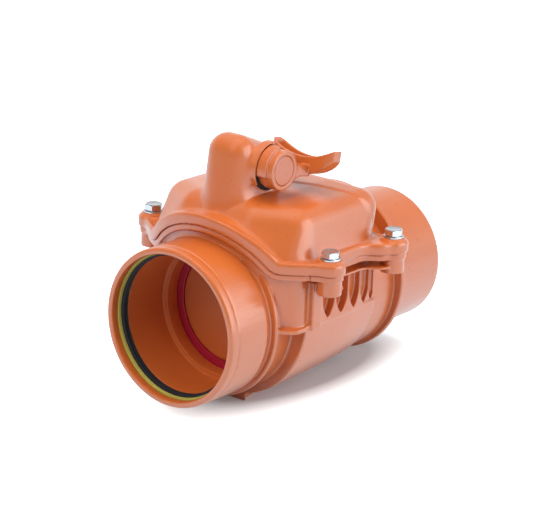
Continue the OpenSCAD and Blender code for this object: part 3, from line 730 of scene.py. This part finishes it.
@dataclass
class CoverBolts(Assembly):
    """Four hexagon bolts with washers and captive nuts that hold the cover down."""

    front_x: float = 24.5
    pitch: float = 80.0
    side_y: float = 88.0
    seat_z: float = 56.0
    foot_z: float = 28.5
    shank_r: float = 4.0
    half_flats: float = 6.478
    head_h: float = 5.2
    neck_h: float = 0.7
    neck_r: float = 5.4
    tip_out: float = 1.0
    tip_cut: float = 0.8
    dish_h: float = 0.25
    dish_share: float = 0.8
    pole_r: float = 0.1
    chamfer_h: float = 1.2
    chamfer_angle: float = 30.0
    face_share: float = 0.95
    washer_r: float = 8.0
    washer_t: float = 1.6
    washer_play: float = 0.4
    washer_soft: float = 0.5
    nut_h: float = 6.4
    nut_play: float = 0.02
    crease: float = 20.0
    columns: int = 96
    head_rows: int = 7
    nut_rows: int = 5
    washer_steps: int = 64

    def places(self) -> list[tuple[float, float, float]]:
        """Bolt axes, at the height of the pipe axis."""
        return [(self.front_x + n * self.pitch, s * self.side_y, 0.0) for n in (0, 1) for s in (-1, 1)]

    def _hex_rows(self, heights: Array, limits: Array) -> Array:
        """Rows of a hexagon whose radius is held below a limit, which is how a chamfer cuts it.

        Args:
            heights: Height of each row.
            limits: Greatest radius of each row.

        Returns:
            Points as rows by columns by three.
        """
        angle = np.linspace(0.0, 2 * np.pi, self.columns, endpoint=False)
        radius = np.minimum(hexagon(angle, self.half_flats)[None], np.asarray(limits, float)[:, None])
        height = np.broadcast_to(np.asarray(heights, float)[:, None], radius.shape)
        return np.stack([radius * np.cos(angle), radius * np.sin(angle), height], axis=-1)

    def _chamfer(self, depth: Array) -> Array:
        """Radius left by the chamfer at a depth below the end face."""
        return self.face_share * self.half_flats + depth / math.tan(math.radians(self.chamfer_angle))

    def _bolt(self) -> Surface:
        """Bolt as rows from the tip of the shank up to the dished top of the head."""
        low = self.seat_z + self.washer_t
        neck = low + self.neck_h
        top = low + self.head_h
        tip = self.foot_z - self.tip_out
        dish = top - self.dish_h
        cut = np.linspace(self.chamfer_h, 0.0, self.head_rows)
        heights = np.concatenate([[tip, tip + self.tip_cut, low, low, neck, neck], top - cut, [dish, dish]])
        shank = [self.shank_r - self.tip_cut, self.shank_r, self.shank_r]
        face = [self.neck_r, self.neck_r, 2 * self.half_flats]
        hollow = [self.dish_share * self.half_flats, self.pole_r]
        limits = np.concatenate([shank, face, self._chamfer(cut), hollow])
        rows = self._hex_rows(heights, limits)
        faces = grid_faces(len(rows), self.columns, False).tolist()
        last = (len(rows) - 1) * self.columns
        ends = [list(range(self.columns)), list(range(last, last + self.columns))]
        return Surface(rows.reshape(-1, 3), faces + ends)

    def _nut(self) -> Surface:
        """Nut as a loop of rows: up its chamfered outside and back down its bore."""
        depth = np.linspace(0.0, self.chamfer_h, self.nut_rows)
        inner = self.shank_r + self.nut_play
        low, high = self.foot_z, self.foot_z + self.nut_h
        heights = np.concatenate([low + depth, high - depth[::-1], [high, low]])
        limits = np.concatenate([self._chamfer(depth), self._chamfer(depth[::-1]), [inner, inner]])
        rows = self._hex_rows(heights, limits)
        return Surface(rows.reshape(-1, 3), grid_faces(len(rows), self.columns, True).tolist())

    def build(self) -> None:
        """Make each kind once and repeat it at the four bolt axes."""
        bolts, nuts = (shape.repeated(self.places()) for shape in (self._bolt(), self._nut()))
        self.shaped(bolts, ZINC, Body.HOUSING, "cover_bolts", self.crease)
        low, high, hole = self.seat_z, self.seat_z + self.washer_t, self.shank_r + self.washer_play
        ring = [(low, hole), (low, self.washer_r), (high, self.washer_r), (high, hole)]
        washer = spun(softened(ring, self.washer_soft), Axis.Z, (0, 0, 0), steps=self.washer_steps)
        self.shaped(washer.repeated(self.places()), ZINC, Body.HOUSING, "cover_washers")
        self.shaped(nuts, ZINC, Body.HOUSING, "cover_nuts", self.crease)


@dataclass
class Flap(Assembly):
    """Swinging flap with its crimson seal, hung on a pin in two olive bushes."""

    recipe: Moulding = Moulding(0.8, rounds=3)
    pin_r: float = 3.0
    pin_half: float = 27.0
    pin_play: float = 0.06
    pin_soft: float = 0.4
    bush_r: float = 4.5
    bush_ends: tuple[float, float] = (1.0, 14.5)
    bush_soft: float = 0.3
    clip_ends: tuple[float, float] = (23.5, 24.5)
    clip_cut: float = 0.8
    clip_play: float = 0.02
    clip_w: float = 2.5
    clip_soft: float = 0.2
    seal_x: tuple[float, float] = (12.1, 15.1)
    seal_r: tuple[float, float] = (45.0, 56.5)
    seal_soft: float = 0.8
    seal_steps: int = 160

    def _pair(self, ends: tuple[float, float], inner: float, outer: float, soft: float) -> Surface:
        """Two mirrored rings on the hinge axis."""
        a, b = ends
        near = softened([(a, inner), (a, outer), (b, outer), (b, inner)], soft)
        far = near * [-1, 1]
        return spun(near, Axis.Y, HINGE_AT).joined(spun(far, Axis.Y, HINGE_AT))

    def build(self) -> None:
        """Cast the flap and turn its seal, pin, bushes and clips."""
        self.moulded("flap", TERRACOTTA, Body.FLAP, self.recipe)
        (a, b), (inner, outer) = self.seal_x, self.seal_r
        ring = softened([(a, inner), (a, outer), (b, outer), (b, inner)], self.seal_soft)
        seal = spun(ring, Axis.X, (0, 0, 0), steps=self.seal_steps)
        self.shaped(seal, CRIMSON_RUBBER, Body.FLAP, "flap_seal")
        bushes = self._pair(self.bush_ends, self.pin_r + self.pin_play, self.bush_r, self.bush_soft)
        self.shaped(bushes, OLIVE, Body.FLAP, "hinge_bushes")
        end, (c0, c1), root = self.pin_half, self.clip_ends, self.pin_r - self.clip_cut
        half = [(c0, self.pin_r), (c0, root), (c1, root), (c1, self.pin_r), (end, self.pin_r), (end, 0.0)]
        whole = softened([(-a, r) for a, r in reversed(half)] + half, self.pin_soft, closed=False)
        self.shaped(spun(whole, Axis.Y, HINGE_AT, closed=False), STEEL, Body.HOUSING, "hinge_pin")
        clips = self._pair(self.clip_ends, root + self.clip_play, self.pin_r + self.clip_w, self.clip_soft)
        self.shaped(clips, STEEL, Body.HOUSING, "hinge_clips")


@dataclass
class Lock(Assembly):
    """Lock shaft with its finger, seals and outside lever."""

    lever_recipe: Moulding = Moulding(0.5, rounds=3)
    finger_recipe: Moulding = Moulding(0.5, rounds=2)
    small_recipe: Moulding = Moulding(0.25, rounds=1)
    side_face: float = -22.0
    seal_t: float = 2.6
    seal_r: tuple[float, float] = (6.0, 17.8)
    seal_soft: float = 0.8
    hub_y: float = -38.4
    cap_r: float = 11.5
    cap_t: float = 1.8
    cap_in: float = 0.2
    cap_soft: float = 0.9
    slope: float = 11.0
    arm_len: float = 39.0
    grip_w: float = 16.0
    grip_half: float = 30.0
    grip_y: float = -27.4
    grip_slack: float = 1.0
    round_len: float = 9.0
    end_share: float = 0.5

    def _round_grip(self, mesh: bpy.types.Mesh) -> None:
        """Round the ends of the grip in plan.

        Along the lever the grip is drawn in towards its middle by the share sqrt(1 - (1 - end share^2) u^2),
        in which u runs from 0 where the rounding starts to 1 at the end of the grip.
        """
        points = vertex_rows(mesh) / MM
        slope = math.radians(self.slope)
        ahead = np.array([math.cos(slope), 0.0, -math.sin(slope)])
        along = (points - SHAFT_AT) @ ahead - self.arm_len
        u = (np.abs(points[:, 1] - self.grip_y) - self.grip_half + self.round_len) / self.round_len
        u = np.where(along > -self.grip_w / 2 - self.grip_slack, np.clip(u, 0.0, 1.0), 0.0)
        share = np.sqrt(1.0 - (1.0 - self.end_share**2) * u**2)
        points += ((share - 1.0) * along)[:, None] * ahead
        move_vertices(mesh, points * MM)

    def build(self) -> None:
        """Cast the lever, the finger and the small parts, and turn the seal and the cap."""
        lever = self.moulded("lever", TERRACOTTA, Body.LOCK, self.lever_recipe)
        self._round_grip(lever.data)
        self.moulded("lock_finger", TERRACOTTA, Body.LOCK, self.finger_recipe)
        near, far = self.side_face - self.seal_t, self.side_face
        inner, outer = self.seal_r
        ring = softened([(near, inner), (near, outer), (far, outer), (far, inner)], self.seal_soft)
        self.shaped(spun(ring, Axis.Y, SHAFT_AT), BLACK_RUBBER, Body.HOUSING, "hub_seal")
        face = self.hub_y + self.cap_in
        back = face + self.cap_t
        cap = [(face, 0.0), (face, self.cap_r), (back, self.cap_r), (back, 0.0)]
        disc = spun(softened(cap, self.cap_soft, closed=False), Axis.Y, SHAFT_AT, closed=False)
        self.shaped(disc, TERRACOTTA, Body.LOCK, "lever_cap")
        for node, finish in (
            ("lock_shaft", STEEL),
            ("finger_pin", STEEL),
            ("shaft_o_rings", BLACK_RUBBER),
            ("shaft_washers", STEEL),
            ("shaft_clip", STEEL),
            ("lever_screw", ZINC),
        ):
            self.moulded(node, finish, Body.LOCK, self.small_recipe)


@dataclass(frozen=True)
class Softbox:
    """Square lamp, placed in metres to the right of the camera's view, ahead along it and up."""

    name: str
    right: float
    ahead: float
    up: float
    size: float
    power: float
    mirrored: bool = True


SOFTBOXES = (
    Softbox("key_softbox", right=-0.8, ahead=-0.9, up=1.3, size=1.0, power=18.0, mirrored=False),
    Softbox("top_softbox", right=-0.1, ahead=0.1, up=1.6, size=1.2, power=21.0, mirrored=False),
    Softbox("side_softbox", right=1.3, ahead=-0.4, up=0.4, size=1.5, power=15.0),
)


@dataclass
class Studio:
    """Pale floor, soft lamps, white surroundings and the camera of the photograph."""

    target: tuple[float, float, float] = (82.0, 0.0, 20.0)
    azimuth: float = 38.096
    elevation: float = 17.791
    roll: float = 2.004
    shift: tuple[float, float] = (11.491, -2.677)
    distance: float = 2115.405
    focal_px: float = 2676.672
    picture_w: float = 540.0
    sensor: float = 36.0
    clip: tuple[float, float] = (50.0, 50_000.0)
    floor_z: float = -73.0
    floor_half: float = 6000.0
    fill: float = 0.28
    horizon: tuple[float, float] = (0.15, 0.6)
    overhead: float = 0.55
    dim_side: tuple[float, float, float] = (-0.95, 0.0, 0.3)
    dim_from: tuple[float, float] = (0.1, 0.8)
    dim_level: float = 0.35
    floor_paint: Colour = (0.64, 0.7, 0.76)
    # Emission lift of the floor: the low inner value inside an oval round the valve paints a shadow under it,
    # and the high outer value makes the floor white.
    floor_lift: tuple[float, float] = (0.08, 0.95)
    shadow_oval_reach: tuple[float, float] = (37.0, 61.0)
    shadow_oval_long: float = 2.5
    shadow_oval_x: float = 95.0
    floor_mirrored: float = 0.5
    floor_roughness: float = 0.7

    def axes(self) -> tuple[Vector, Vector, Vector]:
        """Right, up and forward direction of the camera."""
        a, e, roll = (math.radians(x) for x in (self.azimuth, self.elevation, self.roll))
        forward = Vector((math.cos(e) * math.cos(a), math.cos(e) * math.sin(a), -math.sin(e)))
        level = Vector((math.sin(a), -math.cos(a), 0.0))
        rise = level.cross(forward)
        right = math.cos(roll) * level + math.sin(roll) * rise
        up = -math.sin(roll) * level + math.cos(roll) * rise
        return right, up, forward

    def camera(self) -> None:
        """Place the camera at the photograph's angle and distance."""
        right, up, forward = self.axes()
        across, rise = self.shift
        eye = (Vector(self.target) - self.distance * forward - across * right - rise * up) * MM
        lens = bpy.data.cameras.new("camera")
        lens.sensor_width = self.sensor
        lens.lens = self.focal_px * self.sensor / self.picture_w
        lens.clip_start, lens.clip_end = metres(self.clip)
        camera = bpy.data.objects.new("camera", lens)
        rows = [(*row, eye[i]) for i, row in enumerate(zip(right, up, -forward))]
        camera.matrix_world = Matrix([*rows, (0, 0, 0, 1)])
        bpy.context.scene.collection.objects.link(camera)
        bpy.context.scene.camera = camera

    def lamp(self, softbox: Softbox) -> None:
        """Add a softbox that faces the valve.

        Args:
            softbox: Place, size in metres and power in watts, and whether glossy surfaces show it.
        """
        right, _, forward = self.axes()
        ahead = Vector((forward.x, forward.y, 0.0)).normalized()
        up = Vector((0.0, 0.0, 1.0))
        place = softbox.right * right + softbox.ahead * ahead + softbox.up * up
        light = bpy.data.lights.new(softbox.name, "AREA")
        light.size, light.energy = softbox.size, softbox.power
        box = bpy.data.objects.new(softbox.name, light)
        aim = Vector(self.target) * MM
        box.location = place
        box.visible_glossy = softbox.mirrored
        box.rotation_mode = "QUATERNION"
        box.rotation_quaternion = (aim - place).to_track_quat("-Z", "Y")
        bpy.context.scene.collection.objects.link(box)

    @staticmethod
    def seen(graph: Graph, mirrored: float = 1.0) -> Wire:
        """1 for rays from the camera or a clear body, a share of 1 from a mirror, and 0 for other rays."""
        path = graph.node("ShaderNodeLightPath").outputs
        rays = [Wire(graph, path[name]) for name in ("Is Camera Ray", "Is Glossy Ray", "Is Transmission Ray")]
        return (rays[0] + rays[1] * mirrored + rays[2]).at_most(1.0)

    def surroundings(self) -> None:
        """Surroundings that are white at the horizon and dim overhead and before the socket.

        What they shed on matt surfaces is cut to the fill level.
        """
        world = bpy.data.worlds.new("surroundings")
        bpy.context.scene.world = world
        graph = Graph(world)
        towards = graph.node("ShaderNodeTexCoord").outputs["Generated"]
        height = graph.wire("ShaderNodeSeparateXYZ", inputs={"Vector": towards}, output="Z")
        dot = {0: towards, 1: self.dim_side}
        facing = graph.wire("ShaderNodeVectorMath", {"operation": "DOT_PRODUCT"}, dot, "Value")
        bright = graph.fade(height, self.horizon, last=self.overhead)
        bright = bright * graph.fade(facing, self.dim_from, last=self.dim_level)
        strength = bright * (self.seen(graph) * (1.0 - self.fill) + self.fill)
        sky = graph.node("ShaderNodeBackground", inputs={"Color": (1.0, 1.0, 1.0, 1.0), "Strength": strength})
        graph.node("ShaderNodeOutputWorld", inputs={"Surface": sky.outputs[0]})

    def floor(self) -> None:
        """Pale floor under the foot, lifted to white for the camera outside an oval round the valve. Inside
        the oval the lift drops, which paints a shadow on the floor under the valve.
        """
        half = self.floor_half
        corners = np.array([(-half, -half), (half, -half), (half, half), (-half, half)])
        points = np.column_stack([corners, np.full(4, self.floor_z)]) * MM
        mesh = bpy.data.meshes.new("floor")
        mesh.from_pydata(points.tolist(), [], [[0, 1, 2, 3]])
        paint = bpy.data.materials.new("pale_floor")
        graph = Graph(paint)
        flat = (1.0 / self.shadow_oval_long, 1.0, 0.0)
        under = (self.shadow_oval_x * flat[0] * MM, 0.0, 0.0)
        oval = {0: graph.place(), 1: flat}
        squeezed = graph.node("ShaderNodeVectorMath", {"operation": "MULTIPLY"}, oval).outputs[0]
        away = graph.wire("ShaderNodeVectorMath", {"operation": "DISTANCE"}, {0: squeezed, 1: under}, "Value")
        # Less lift inside the oval paints a shadow on the floor under the valve; outside the oval the floor
        # is lifted to white.
        inner, outer = self.floor_lift
        lift = graph.fade(away, metres(self.shadow_oval_reach), inner, outer) * self.seen(graph, self.floor_mirrored)
        graph.close(
            base_color=(*self.floor_paint, 1.0),
            roughness=self.floor_roughness,
            emission_color=lift,
            emission_strength=1.0,
        )
        mesh.materials.append(paint)
        floor = bpy.data.objects.new("floor", mesh)
        bpy.context.scene.collection.objects.link(floor)

    def build(self) -> None:
        """Set up camera, lamps, surroundings and floor."""
        self.camera()
        for softbox in SOFTBOXES:
            self.lamp(softbox)
        self.surroundings()
        self.floor()
        bpy.context.scene.view_settings.view_transform = "Standard"


def main() -> None:
    """Build the assemblies in order, then the studio."""
    logging.basicConfig(level=logging.INFO, format="%(name)s %(message)s")
    for assembly in (Housing(), InletSeal(), CoverBolts(), Flap(), Lock()):
        assembly.build()
        assembly.report()
    Studio().build()


if __name__ == "__main__":
    main()
